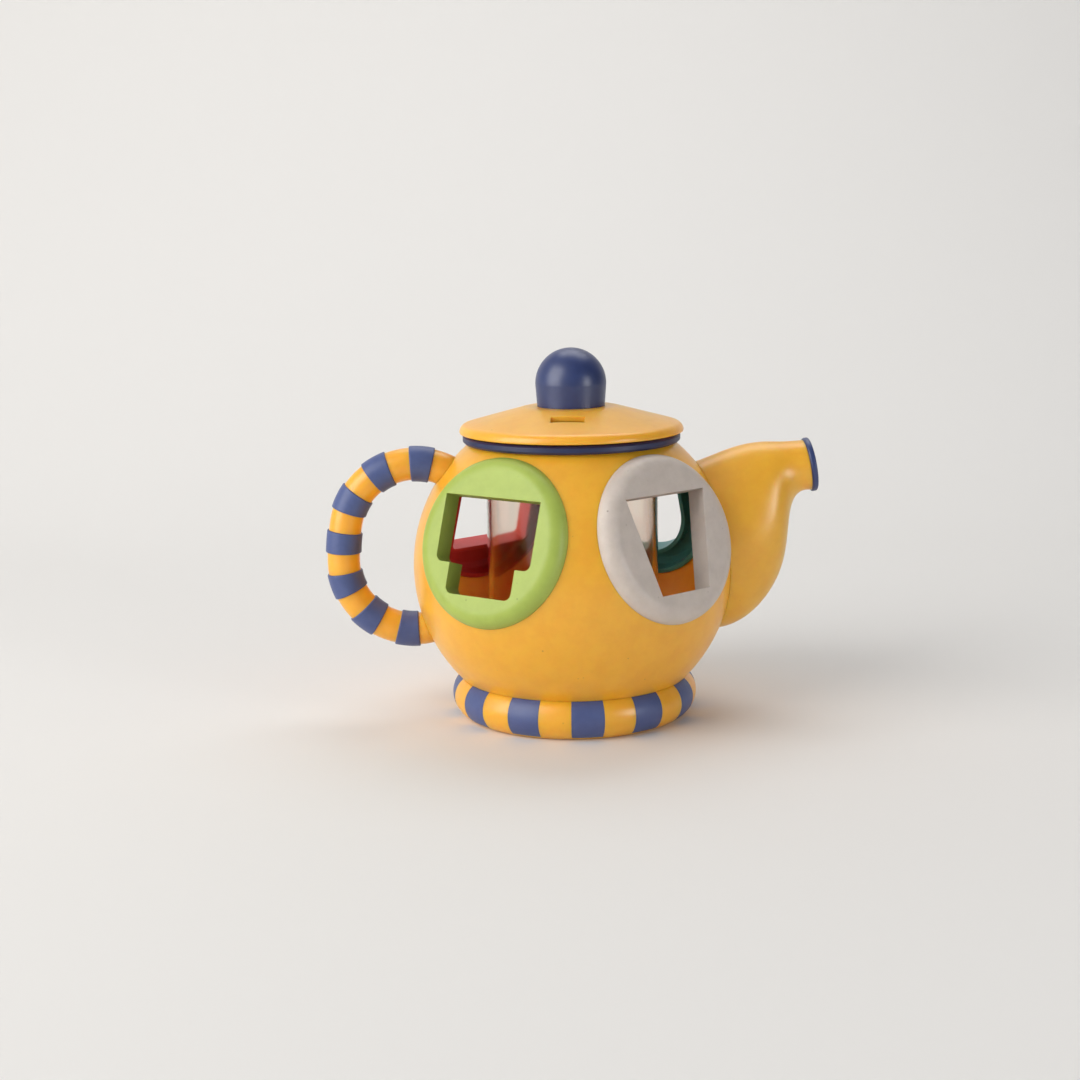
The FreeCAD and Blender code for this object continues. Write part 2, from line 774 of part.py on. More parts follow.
def handle_band(number, steps, tube):
    """A raised band that many steps down from the grip's middle, on the arc that it lies on."""
    if steps == 0:
        bend, centre, middle = grip_bend, grip_centre, grip_angle
    else:
        side = math.copysign(1, steps)
        join = grip_angle + half_grip * side
        past_join = size("band_pitch") * (steps - side / 2)
        bend, centre, middle = end_bend, end_centre(join), join + arc_angle(past_join, end_bend)
    name = "handle_band_%d" % number
    outer = tube + size("band_proud")
    sweep = arc_angle(size("band_width"), bend)
    margin = arc_angle(OVERRUN, bend)
    start = middle - sweep / 2
    sleeve = cut(name + "_sleeve", bent_rod(name + "_outer", outer, bend, centre, start, sweep),
                 bent_rod(name + "_bore", tube, bend, centre, start - margin, sweep + margin * 2))
    nodes[name] = cut(name, round_edges(name + "_rounded", sleeve, size("band_rounding"), outer),
                      sphere(name + "_seat", body_radius))


def handle():
    tube = size("handle_thickness") / 2
    grip = bent_rod("handle_grip", tube, grip_bend, grip_centre, grip_angle - half_grip, half_grip * 2)
    ends = [cut(end.Name + "_outside", end, sphere(end.Name + "_seat", body_radius))
            for end in handle_ends("handle_end", tube)]
    spigots = [cut(end.Name + "_short", end, sphere(end.Name + "_tip", inner_radius - size("spigot_reach")))
               for end in handle_ends("spigot", spigot_radius)]
    nodes["handle_core"] = fuse("handle_core", grip, *ends, *spigots)
    steps = range(-BANDS_EACH_SIDE_OF_GRIP, BANDS_EACH_SIDE_OF_GRIP + 1)
    for number, step in enumerate(steps, start=1):
        handle_band(number, step, tube)


# ---- foot ring ---------------------------------------------------------------------------

def stripe_outline(body):
    """Section of the layer that a stripe fills, from near the table up past the pot's wall."""
    tube = size("foot_tube")
    layer = tube - size("stripe_depth")
    middle = foot_middle
    ring = foot_radius
    low = size("stripe_low")
    corners = [
        (ring + other_leg(tube, middle - low), low), (ring, free(middle + tube)),
        (ring, middle + layer), (free(ring + other_leg(layer, middle - low)), low),
    ]
    arcs = {0: ((ring, middle), True), 2: ((ring, middle), False)}
    swing = FRONT + size("stripe_phase").number
    return outline(body, body.Name + "_stripe", "XZ_Plane", corners, arcs, swing=swing)


def foot_ring():
    body = new_body("foot_form")
    tube = size("foot_tube")
    hollow = tube - size("foot_wall")
    middle = foot_middle
    ring = foot_radius
    flat_half = other_leg(tube, middle)
    inner = flange_inner
    flange = size("flange_level")
    corners = [
        (ring + flat_half, 0), (ring, free(middle + tube)), (ring, middle + hollow),
        (free(ring + other_leg(hollow, middle - flange_top)), flange_top), (inner, flange_top),
        (inner, flange), (ring - flat_half, flange), (ring - flat_half, 0),
    ]
    arcs = {0: ((ring, middle), True), 2: ((ring, middle), False)}
    turned(body, "foot_moulding", outline(body, "foot_outline", "XZ_Plane", corners, arcs))
    recess = turned(body, "stripe_recess", stripe_outline(body), size("stripe_angle"), "Groove")
    pattern = body.newObject("PartDesign::PolarPattern", "stripe_recesses")
    pattern.Originals = [recess]
    pattern.Axis = (recess.Profile[0], ["V_Axis"])
    pattern.Angle = 360
    pattern.Occurrences = STRIPE_COUNT
    body.Tip = pattern
    holes = [cylinder("flange_hole_%d" % number, screw_radius + fit_gap, size("flange_thickness"),
                      (x, y, size("flange_level")))
             for number, x, y in screw_spots()]
    nodes["foot_ring"] = cut("foot_ring", body, sphere("foot_seat", body_radius), *holes)
    for number in range(STRIPE_COUNT):
        stripe = new_body("stripe_form_%02d" % (number + 1))
        turned(stripe, stripe.Name + "_turn", stripe_outline(stripe), size("stripe_angle"))
        place(stripe, (0, 0, 0), FreeCAD.Rotation(FreeCAD.Vector(0, 0, 1), 360.0 / STRIPE_COUNT * number))
        name = "foot_stripe_%02d" % (number + 1)
        nodes[name] = cut(name, stripe, sphere(name + "_seat", body_radius))


def base_screws():
    """Four identical screws through the ring's flange into the bosses."""
    screws = [screw("base_screw_%d" % number, (x, y, size("flange_level")),
                    size("flange_thickness") + boss_depth - running_gap)
              for number, x, y in screw_spots()]
    group = doc.addObject("Part::Compound", "base_screws")
    group.Links = screws
    nodes["base_screws"] = group


doc.recompute()
port_plates()
body_shell()
mouth_collar()
canister()
lid()
spout()
handle()
foot_ring()
base_screws()
doc.recompute()

broken = [thing.Name for thing in doc.Objects
          if any(word in thing.State for word in ("Invalid", "Error"))]
broken += [name for name, thing in nodes.items()
           if thing.Shape.isNull() or not thing.Shape.isValid() or not thing.Shape.Solids]
if broken:
    raise RuntimeError("these pieces did not come out whole: " + ", ".join(broken))

os.makedirs("parts", exist_ok=True)
for name, thing in nodes.items():
    thing.Label = name
    thing.Shape.exportStep("parts/%s.step" % name)
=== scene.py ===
"""Studio scene of the toy teapot: moulded finishes, fine moulded detail, light and camera."""

import json
import math

import bmesh
import bpy
from mathutils import Matrix, Quaternion, Vector


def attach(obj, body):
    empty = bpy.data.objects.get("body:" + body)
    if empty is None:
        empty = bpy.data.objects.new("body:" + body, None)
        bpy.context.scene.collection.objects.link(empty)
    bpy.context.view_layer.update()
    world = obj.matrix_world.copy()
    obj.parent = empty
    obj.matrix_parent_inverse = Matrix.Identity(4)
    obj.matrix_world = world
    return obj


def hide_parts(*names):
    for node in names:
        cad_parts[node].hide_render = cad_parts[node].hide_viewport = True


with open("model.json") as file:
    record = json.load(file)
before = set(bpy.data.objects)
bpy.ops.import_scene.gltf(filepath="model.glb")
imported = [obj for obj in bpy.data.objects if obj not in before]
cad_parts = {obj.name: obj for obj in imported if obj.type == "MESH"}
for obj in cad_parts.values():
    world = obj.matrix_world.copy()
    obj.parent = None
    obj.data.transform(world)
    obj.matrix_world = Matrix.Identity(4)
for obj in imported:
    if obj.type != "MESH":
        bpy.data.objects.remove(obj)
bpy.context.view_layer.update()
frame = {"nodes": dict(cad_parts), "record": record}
nodes = frame["nodes"]

MM = 0.001


# ---- node helpers --------------------------------------------------------------------------

# places of the mix node's colour sockets, which share their names with its other kinds
MIX_FIRST = 6
MIX_SECOND = 7
MIX_RESULT = 2


class Surface:
    """A material whose nodes are added one call at a time."""

    def __init__(self, name):
        self.material = bpy.data.materials.new(name)
        self.material.use_nodes = True
        self.tree = self.material.node_tree
        self.shader = self.tree.nodes["Principled BSDF"]
        self.place = self.add("ShaderNodeTexCoord").outputs["Object"]

    def add(self, kind, settings=None, **inputs):
        """Adds a node, sets its settings, and sets or links its inputs by name."""
        node = self.tree.nodes.new(kind)
        for name, value in (settings or {}).items():
            setattr(node, name, value)
        for name, value in inputs.items():
            self.feed(node.inputs[name.replace("_", " ")], value)
        return node

    def feed(self, socket, value):
        """Links another node's output to the socket, or sets the socket to a constant."""
        if isinstance(value, bpy.types.NodeSocket):
            self.tree.links.new(value, socket)
        else:
            socket.default_value = value

    def noise(self, size, detail=2.0, roughness=0.5):
        """Cloudy noise whose lumps are about size metres across."""
        return self.add("ShaderNodeTexNoise", Vector=self.place, Scale=1 / size, Detail=detail,
                        Roughness=roughness).outputs["Fac"]

    def cells(self, size, place):
        """Scattered points about size metres apart: a colour for each, and the distance to it."""
        return self.add("ShaderNodeTexVoronoi", Vector=place, Scale=1 / size)

    def ramp(self, value, zero, one):
        """0 at the value zero, 1 at the value one, and smooth between."""
        node = self.add("ShaderNodeMapRange", {"interpolation_type": "SMOOTHSTEP"}, Value=value)
        node.inputs["From Min"].default_value = zero
        node.inputs["From Max"].default_value = one
        return node.outputs["Result"]

    def scaled(self, value, low, high):
        """Maps 0..1 to low..high."""
        node = self.add("ShaderNodeMapRange", Value=value)
        node.inputs["To Min"].default_value = low
        node.inputs["To Max"].default_value = high
        return node.outputs["Result"]

    def times(self, first, second):
        """The product of two values."""
        node = self.add("ShaderNodeMath", {"operation": "MULTIPLY"})
        self.feed(node.inputs[0], first)
        self.feed(node.inputs[1], second)
        return node.outputs[0]

    def mix(self, amount, first, second):
        """The first colour where the amount is 0, and the second where it is 1."""
        node = self.add("ShaderNodeMix", {"data_type": "RGBA"})
        self.feed(node.inputs["Factor"], amount)
        self.feed(node.inputs[MIX_FIRST], first)
        self.feed(node.inputs[MIX_SECOND], second)
        return node.outputs[MIX_RESULT]

    def bump(self, height, depth, under=None):
        """Relief of that depth in metres, on top of the relief under it."""
        node = self.add("ShaderNodeBump", Height=height, Distance=depth)
        if under is not None:
            self.feed(node.inputs["Normal"], under)
        return node.outputs["Normal"]

    def set(self, **inputs):
        """Sets or links the shader's inputs by name."""
        for name, value in inputs.items():
            self.feed(self.shader.inputs[name.replace("_", " ")], value)


# ---- finishes ------------------------------------------------------------------------------

CLOUD_SIZE = 9 * MM
CLOUD_NONE = 0.3
CLOUD_FULL = 0.75
FLECK_KINDS = (
    {"size": 2.3 * MM, "stretch": (1.0, 1.0, 1.0), "slant": 0.0, "part": 1.0},
    {"size": 2.9 * MM, "stretch": (1.0, 0.45, 1.3), "slant": 0.7, "part": 0.6},
)
FLECK_EDGE = 0.27
FLECK_CORE = 0.1
FLECK_STRENGTH = 0.85
GRAIN_SIZE = 0.45 * MM
GRAIN_DEPTH = 0.005 * MM
WAVE_SIZE = 14 * MM
WAVE_DEPTH = 0.12 * MM
EDGE_ROUNDING = 0.5 * MM
EDGE_SAMPLES = 4
GLOSS_SIZE = 3.5 * MM
GLOSS_SPREAD = 0.07
SCATTER_REACH = (1.0, 0.42, 0.12)
PLASTIC_IOR = 1.5

CLEAR_COLOUR = (0.98, 0.92, 0.86, 1.0)
CLEAR_TO_LAMPS = (0.97, 0.93, 0.88, 1.0)
CLEAR_IOR = 1.45
RIPPLE_SIZE = 16 * MM
RIPPLE_DEPTH = 0.08 * MM
HAZE_SIZE = 6 * MM
HAZE_RANGE = (0.03, 0.09)

STEEL_COLOUR = (0.56, 0.56, 0.57, 1.0)
STREAK_SIZE = 0.3 * MM
STREAK_DEPTH = 0.01 * MM
STREAK_GLOSS = (0.28, 0.42)


def linear(red, green, blue):
    """A colour given as 0..255 sRGB, as linear light."""
    def channel(value):
        """One channel by the sRGB standard's curve."""
        value /= 255
        return value / 12.92 if value <= 0.04045 else ((value + 0.055) / 1.055) ** 2.4
    return (channel(red), channel(green), channel(blue), 1.0)


def moulded(name, colour, cloud, fleck, fleck_share, rough, scatter=0.0, depth=3.0 * MM, shine=0.5):
    """Satin plastic with a filler that shows as faint clouds, and round and long flecks."""
    surface = Surface(name)
    clouds = surface.ramp(surface.noise(CLOUD_SIZE, detail=4.0, roughness=0.65), CLOUD_NONE, CLOUD_FULL)
    tone = surface.mix(clouds, colour, cloud)
    for kind in FLECK_KINDS:
        place = surface.add("ShaderNodeMapping", Vector=surface.place, Scale=kind["stretch"],
                            Rotation=(kind["slant"], kind["slant"], 0.0)).outputs["Vector"]
        cells = surface.cells(kind["size"], place)
        chosen = surface.ramp(cells.outputs["Color"], 1 - fleck_share * kind["part"], 1.0)
        dot = surface.ramp(cells.outputs["Distance"], FLECK_EDGE, FLECK_CORE)
        tone = surface.mix(surface.times(surface.times(chosen, dot), FLECK_STRENGTH), tone, fleck)
    grain = surface.noise(GRAIN_SIZE, detail=3.0)
    waves = surface.noise(WAVE_SIZE, detail=1.0)
    edges = surface.add("ShaderNodeBevel", {"samples": EDGE_SAMPLES}, Radius=EDGE_ROUNDING).outputs["Normal"]
    relief = surface.bump(waves, WAVE_DEPTH, under=surface.bump(grain, GRAIN_DEPTH, under=edges))
    gloss = surface.scaled(surface.noise(GLOSS_SIZE, detail=5.0, roughness=0.7), rough - GLOSS_SPREAD,
                           rough + GLOSS_SPREAD)
    surface.set(Base_Color=tone, Roughness=gloss, Normal=relief, Subsurface_Weight=scatter,
                Subsurface_Radius=SCATTER_REACH, Subsurface_Scale=depth, IOR=PLASTIC_IOR,
                Specular_IOR_Level=shine)
    return surface.material


def clear_plastic(name):
    """Clear moulded plastic, faintly wavy and hazy, that lets the lamps' light through."""
    surface = Surface(name)
    ripple = surface.bump(surface.noise(RIPPLE_SIZE, detail=1.0), RIPPLE_DEPTH)
    haze = surface.scaled(surface.noise(HAZE_SIZE, detail=3.0), *HAZE_RANGE)
    surface.set(Base_Color=CLEAR_COLOUR, Normal=ripple, Transmission_Weight=1.0, Roughness=haze,
                IOR=CLEAR_IOR)
    for_lamps = surface.add("ShaderNodeBsdfTransparent", Color=CLEAR_TO_LAMPS)
    ray = surface.add("ShaderNodeLightPath")
    either = surface.add("ShaderNodeMixShader")
    surface.feed(either.inputs[0], ray.outputs["Is Shadow Ray"])
    surface.feed(either.inputs[1], surface.shader.outputs[0])
    surface.feed(either.inputs[2], for_lamps.outputs[0])
    surface.feed(surface.tree.nodes["Material Output"].inputs["Surface"], either.outputs[0])
    return surface.material


def plated_steel(name):
    """Zinc-plated steel with fine streaks."""
    surface = Surface(name)
    streaks = surface.noise(STREAK_SIZE, detail=3.0)
    surface.set(Base_Color=STEEL_COLOUR, Metallic=1.0, Roughness=surface.scaled(streaks, *STREAK_GLOSS),
                Normal=surface.bump(streaks, STREAK_DEPTH))
    return surface.material


YELLOW = moulded("yellow_plastic", linear(245, 176, 45), cloud=linear(239, 167, 40),
                 fleck=linear(120, 78, 30), fleck_share=0.10, rough=0.31, scatter=0.5, depth=8 * MM,
                 shine=0.7)
NAVY = moulded("navy_plastic", linear(34, 52, 104), cloud=linear(30, 46, 95), fleck=linear(22, 26, 50),
               fleck_share=0.08, rough=0.36, shine=0.8)
# a paler copy of the navy plastic: painted light for the handle bands and foot stripes, which catch the
# strong key light
LIT_NAVY = moulded("lit_navy_plastic", linear(76, 90, 138), cloud=linear(69, 82, 129), fleck=linear(38, 42, 70),
                 fleck_share=0.08, rough=0.42)
GREEN = moulded("green_plastic", linear(164, 183, 82), cloud=linear(156, 175, 76), fleck=linear(96, 112, 44),
                fleck_share=0.16, rough=0.42, scatter=0.1)
BEIGE = moulded("beige_plastic", linear(202, 190, 180), cloud=linear(192, 180, 170),
                fleck=linear(112, 96, 84), fleck_share=0.2, rough=0.42, scatter=0.08)
RED = moulded("red_plastic", linear(206, 52, 50), cloud=linear(198, 46, 45), fleck=linear(120, 22, 20),
              fleck_share=0.12, rough=0.42, scatter=0.1)
TEAL = moulded("teal_plastic", linear(84, 156, 154), cloud=linear(76, 146, 146), fleck=linear(36, 80, 80),
               fleck_share=0.14, rough=0.42, scatter=0.08)
# a darker copy of the navy plastic: painted shade for the collar, which sits in the lid's shadow
SHADED_NAVY = moulded("shaded_navy_plastic", linear(34, 44, 84), cloud=linear(29, 38, 75), fleck=linear(20, 24, 44),
              fleck_share=0.08, rough=0.42)
CLEAR = clear_plastic("clear_plastic")
STEEL = plated_steel("screw_steel")

FINISHES = {
    "yellow_plastic": YELLOW,
    "navy_plastic": NAVY,
    "green_plastic": GREEN,
    "beige_plastic": BEIGE,
    "red_plastic": RED,
    "teal_plastic": TEAL,
    "clear_plastic": CLEAR,
    "screw_steel": STEEL,
}


def dress_nodes():
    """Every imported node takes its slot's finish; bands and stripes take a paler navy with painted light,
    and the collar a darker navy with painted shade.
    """
    for part in frame["record"]["subparts"]:
        piece = nodes[part["node"]]
        piece.data.materials.clear()
        finish = FINISHES[part["material_slot"]]
        # bands and stripes take the navy with painted light
        if part["node"].startswith(("handle_band", "foot_stripe")):
            finish = LIT_NAVY
        # the collar takes the navy with painted shade
        elif part["node"] == "mouth_collar":
            finish = SHADED_NAVY
        piece.data.materials.append(finish)


# ---- mesh helpers --------------------------------------------------------------------------

SHARP_FROM = 35


def lathe(name, profile, steps=48):
    """A mesh turned about Z from radii and heights: solid if it starts on the axis, or else a ring."""
    build = bmesh.new()
    solid = profile[0][0] == 0.0
    turns = [2 * math.pi * step / steps for step in range(steps)]
    rings = [[build.verts.new((radius * math.cos(turn), radius * math.sin(turn), height)) for turn in turns]
             for radius, height in (profile[1:-1] if solid else profile)]
    bands = list(zip(rings, rings[1:]))
    if not solid:
        bands.append((rings[-1], rings[0]))
    for low, high in bands:
        for step in range(steps):
            after = (step + 1) % steps
            build.faces.new((low[step], low[after], high[after], high[step]))
    if solid:
        for ring, (radius, height) in ((rings[0], profile[0]), (rings[-1], profile[-1])):
            tip = build.verts.new((radius, 0.0, height))
            for step in range(steps):
                build.faces.new((tip, ring[step], ring[(step + 1) % steps]))
    bmesh.ops.recalc_face_normals(build, faces=build.faces)
    mesh = bpy.data.meshes.new(name)
    build.to_mesh(mesh)
    build.free()
    return mesh


def prism(name, outline, low, high, shrink=1.0):
    """An upright prism over an outline, whose top may be smaller than its foot."""
    count = len(outline)
    corners = [(x, y, low) for x, y in outline] + [(x * shrink, y * shrink, high) for x, y in outline]
    faces = [tuple(reversed(range(count))), tuple(range(count, 2 * count))]
    faces += [(spot, (spot + 1) % count, count + (spot + 1) % count, count + spot) for spot in range(count)]
    mesh = bpy.data.meshes.new(name)
    mesh.from_pydata(corners, [], faces)
    return mesh


def combined(name, base, steps):
    """The base mesh after each step's boolean operation with its mesh."""
    model = bpy.data.objects.new(name + "_model", base)
    bpy.context.scene.collection.objects.link(model)
    helpers = [model]
    for operation, mesh in steps:
        helper = bpy.data.objects.new(mesh.name, mesh)
        bpy.context.scene.collection.objects.link(helper)
        helpers.append(helper)
        change = model.modifiers.new(mesh.name, "BOOLEAN")
        change.operation = operation
        change.object = helper
    ready = bpy.data.meshes.new_from_object(model.evaluated_get(bpy.context.evaluated_depsgraph_get()))
    ready.name = name
    for helper in helpers:
        bpy.data.objects.remove(helper)
    return ready


def fitted(name, mesh, material, body, node, sharp=SHARP_FROM):
    """Puts the mesh in the scene as a piece that rides on the body and stands for the node."""
    mesh.materials.clear()
    mesh.materials.append(material)
    mesh.shade_smooth()
    mesh.set_sharp_from_angle(angle=math.radians(sharp))
    piece = bpy.data.objects.new(name, mesh)
    bpy.context.scene.collection.objects.link(piece)
    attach(piece, body)
    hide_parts(node)


# ---- screws --------------------------------------------------------------------------------

HEAD_RADIUS = 3.2 * MM
HEAD_HEIGHT = 1.9 * MM
HEAD_SIDE = 0.45 * HEAD_HEIGHT
DOME_STEPS = 8
DOME_POWER = 0.8
SHANK_RADIUS = 1.5 * MM
THREAD_ROOT = 1.1 * MM
THREAD_PITCH = 1.2 * MM
# shares of the pitch
GROOVE_START = 0.35
GROOVE_END = 0.6
TAPER_LENGTH = 1.5
POINT_LENGTH = 0.3
# share of the thread's root
POINT_RADIUS = 0.5
CROSS_ARM = 1.75 * MM
CROSS_WIDTH = 0.85 * MM
CROSS_DEPTH = 1.15 * MM
CROSS_FOOT = -HEAD_HEIGHT * 1.5
CROSS_TAPER = 0.62
BASE_SCREW_SPOT = 22.608 * MM
BASE_SCREW_SEAT = 3.0 * MM
BASE_SCREW_LENGTH = 6.0 * MM
KNOB_SCREW_SEAT = 149.34 * MM
KNOB_SCREW_LENGTH = 12.0 * MM


def screw_profile(length):
    """A pan head with a domed top, a plain neck, thread ridges and a tapered tip, head down."""
    profile = [(0.0, -HEAD_HEIGHT)]
    for step in range(1, DOME_STEPS + 1):
        turn = math.pi / 2 * step / DOME_STEPS
        profile.append((HEAD_RADIUS * math.sin(turn) ** DOME_POWER,
                        -HEAD_SIDE - (HEAD_HEIGHT - HEAD_SIDE) * math.cos(turn)))
    profile += [(HEAD_RADIUS, 0.0), (SHANK_RADIUS, 0.0), (SHANK_RADIUS, THREAD_PITCH)]
    tip = length - TAPER_LENGTH * THREAD_PITCH
    ridge = THREAD_PITCH
    while ridge + THREAD_PITCH < tip:
        profile += [(THREAD_ROOT, ridge + THREAD_PITCH * GROOVE_START),
                    (THREAD_ROOT, ridge + THREAD_PITCH * GROOVE_END),
                    (SHANK_RADIUS, ridge + THREAD_PITCH)]
        ridge += THREAD_PITCH
    profile += [(THREAD_ROOT, tip), (THREAD_ROOT * POINT_RADIUS, length - THREAD_PITCH * POINT_LENGTH),
                (0.0, length)]
    return profile


def cross_recess():
    """A cross that narrows towards its end, standing in a screw's head from below."""
    arm = CROSS_ARM
    half = CROSS_WIDTH / 2
    outline = [(arm, -half), (arm, half), (half, half), (half, arm), (-half, arm), (-half, half),
               (-arm, half), (-arm, -half), (-half, -half), (-half, -arm), (half, -arm), (half, -half)]
    return prism("cross_recess", outline, CROSS_FOOT, CROSS_DEPTH - HEAD_HEIGHT, CROSS_TAPER)


def screws(name, node, body, length, spots):
    """Pan-head screws with a cross recess, at the spots where their heads bear."""
    single = combined(name + "_single", lathe(name + "_form", screw_profile(length)),
                      [("DIFFERENCE", cross_recess())])
    group = bmesh.new()
    for spot in spots:
        first = len(group.verts)
        group.from_mesh(single)
        group.verts.ensure_lookup_table()
        bmesh.ops.translate(group, verts=group.verts[first:], vec=spot)
    mesh = bpy.data.meshes.new(name)
    group.to_mesh(mesh)
    group.free()
    fitted(name, mesh, STEEL, body, node)


# ---- canister ------------------------------------------------------------------------------

CANISTER_RADIUS = 42.0 * MM
CANISTER_WALL = 2.2 * MM
CANISTER_BORE = 38.4 * MM
CANISTER_LIP_RADIUS = 47.0 * MM
CANISTER_LOW = 11.2 * MM
CANISTER_TOP = 139.1 * MM
CANISTER_LIP = 1.8 * MM
CANISTER_FLOOR = 2.4 * MM
CANISTER_SOFT = 0.5 * MM
# below the lip: the bore's end, the end of its taper, and a ring that keeps the wall's shading even
BORE_END = 7 * MM
BORE_TAPER_END = 11 * MM
WALL_RING = 12 * MM
# in from the wall and up from the underside
FOOT_CORNER = ((2.2 * MM, 0.0), (0.6 * MM, 0.7 * MM), (0.0, 2.2 * MM), (0.0, 3.0 * MM))
FLOOR_CORNER = ((0.0, 5.2 * MM), (0.0, 4.4 * MM), (0.5 * MM, 3.0 * MM), (1.8 * MM, CANISTER_FLOOR))
CANISTER_STEPS = 128
CANISTER_SHARP_FROM = 12


def clear_canister():
    """The clear inner canister: a deep cup whose rim thickens towards its flat lip."""
    inner = CANISTER_RADIUS - CANISTER_WALL
    lip_low = CANISTER_TOP - CANISTER_LIP
    soft = CANISTER_SOFT
    profile = [(0.0, CANISTER_LOW)]
    profile += [(CANISTER_RADIUS - inset, CANISTER_LOW + rise) for inset, rise in FOOT_CORNER]
    profile += [(CANISTER_RADIUS, lip_low - soft * 2), (CANISTER_RADIUS, lip_low - soft),
                (CANISTER_RADIUS + soft, lip_low), (CANISTER_LIP_RADIUS - soft, lip_low),
                (CANISTER_LIP_RADIUS, lip_low + soft), (CANISTER_LIP_RADIUS, CANISTER_TOP - soft),
                (CANISTER_LIP_RADIUS - soft, CANISTER_TOP), (CANISTER_BORE, CANISTER_TOP),
                (CANISTER_BORE, lip_low - BORE_END), (inner, lip_low - BORE_TAPER_END),
                (inner, lip_low - WALL_RING)]
    profile += [(inner - inset, CANISTER_LOW + rise) for inset, rise in FLOOR_CORNER]
    profile.append((0.0, CANISTER_LOW + CANISTER_FLOOR))
    fitted("clear_canister", lathe("clear_canister", profile, steps=CANISTER_STEPS), CLEAR,
           "canister", "canister", sharp=CANISTER_SHARP_FROM)


# ---- lid -----------------------------------------------------------------------------------

LID_TOP = 151.9 * MM
LID_WALL = 2.6 * MM
LID_LOW = 139.1 * MM
LID_RELIEF = 0.5 * MM
LID_RADIUS = 54.4 * MM
LID_FLAT = 22.5 * MM
CONE_ANGLE = 15.4
LID_SLOPE = math.tan(math.radians(CONE_ANGLE))
LID_SEAT_INNER = 45.4 * MM
LID_SEAT_OUTER = 47.3 * MM
LID_HOLE = 1.8 * MM
LID_TURN = math.radians(6.5)
RIM_ROUNDING = 3.9 * MM
RIM_STEPS = 8
RIM_EDGE = 0.5 * MM
RIM_BEVEL = 0.15 * MM
LID_BEND = 2.0 * MM
# shares of the bend: the drop at its middle, the ring beyond it, and the ring before the rim
BEND_DROP = 0.22
BEND_RING = 1.4
SHOULDER_RING = 0.3
SLOT_LENGTH = 16.0 * MM
SLOT_WIDTH = 7.0 * MM
SLOT_FAR = 36.1 * MM
LID_STEPS = 144


def moulded_lid():
    """The lid: a flat middle for the knob, a straight cone, a round rim, and one slot in front."""
    shoulder = LID_RADIUS - RIM_ROUNDING + RIM_ROUNDING * math.sin(math.radians(CONE_ANGLE))
    rim_low = LID_LOW + LID_RELIEF
    bend = LID_BEND
    profile = [(LID_HOLE, LID_TOP), (LID_FLAT - bend, LID_TOP),
               (LID_FLAT, LID_TOP - bend * LID_SLOPE * BEND_DROP),
               (LID_FLAT + bend, LID_TOP - bend * LID_SLOPE),
               (LID_FLAT + bend * BEND_RING, LID_TOP - bend * BEND_RING * LID_SLOPE),
               (shoulder - bend * SHOULDER_RING,
                LID_TOP - (shoulder - bend * SHOULDER_RING - LID_FLAT) * LID_SLOPE),
               (shoulder, LID_TOP - (shoulder - LID_FLAT) * LID_SLOPE)]
    start = math.radians(90 - CONE_ANGLE)
    middle = LID_TOP - (shoulder - LID_FLAT) * LID_SLOPE - RIM_ROUNDING * math.sin(start)
    for step in range(1, RIM_STEPS + 1):
        turn = start * (1 - step / RIM_STEPS)
        profile.append((LID_RADIUS - RIM_ROUNDING + RIM_ROUNDING * math.cos(turn),
                        middle + RIM_ROUNDING * math.sin(turn)))
    profile += [(LID_RADIUS - RIM_BEVEL, rim_low + RIM_BEVEL), (LID_RADIUS - RIM_EDGE, rim_low),
                (LID_SEAT_OUTER, rim_low), (LID_SEAT_OUTER, LID_LOW), (LID_SEAT_INNER, LID_LOW),
                (LID_SEAT_INNER, LID_TOP - LID_WALL - (LID_SEAT_INNER - LID_FLAT) * LID_SLOPE),
                (LID_FLAT, LID_TOP - LID_WALL), (LID_HOLE, LID_TOP - LID_WALL)]
    half = SLOT_LENGTH / 2
    near = SLOT_WIDTH - SLOT_FAR
    cut = prism("lid_slot", [(-half, -SLOT_FAR), (half, -SLOT_FAR), (half, near), (-half, near)], LID_LOW,
                LID_TOP + LID_WALL)
    cut.transform(Matrix.Rotation(-LID_TURN, 4, "Z"))
    lid = combined("moulded_lid", lathe("lid_form", profile, steps=LID_STEPS), [("DIFFERENCE", cut)])
    fitted("moulded_lid", lid, YELLOW, "lid", "lid_shell")


# ---- square plate --------------------------------------------------------------------------

BALL_MIDDLE = 74.0 * MM
PORT_TILT = 17.72
PORT_TURN = -142.5
PLATE_RADIUS = 40.0 * MM
PLATE_FACE = 74.7 * MM
PLATE_SEAT = 67.31 * MM
PLATE_UNDER = 72.3 * MM
PLATE_STEPS = 128
EDGE_STEPS = 12
SKIRT_RADIUS = 38.4 * MM
SKIRT_BORE = 36.4 * MM
SKIRT_END = 63.2 * MM
SKIRT_ROOT = 0.9 * MM
SKIRT_FILLET = 2.4 * MM
SKIRT_BEAD = 0.7 * MM
# from the skirt's end to the bead, as a share of the bead
BEAD_GAP = 0.1
TUNNEL_DEPTH = 10.0 * MM
TUNNEL_WALL = 2.0 * MM
SQUARE_WIDTH = 46.0 * MM
SQUARE_LOW = -20.1 * MM
SQUARE_HIGH = 20.2 * MM
SQUARE_CORNER = 2.5 * MM


def rounded_square(grow, corner, steps=6):
    """The square hole's outline moved outwards by grow, with round corners."""
    outline = []
    sides = ((1, SQUARE_LOW, -1), (1, SQUARE_HIGH, 1), (-1, SQUARE_HIGH, 1), (-1, SQUARE_LOW, -1))
    for quarter, (side, height, up) in enumerate(sides):
        x = side * (SQUARE_WIDTH / 2 + grow - corner)
        y = height + up * (grow - corner)
        for step in range(steps + 1):
            turn = math.pi / 2 * (quarter - 1 + step / steps)
            outline.append((x + corner * math.cos(turn), y + corner * math.sin(turn)))
    return outline


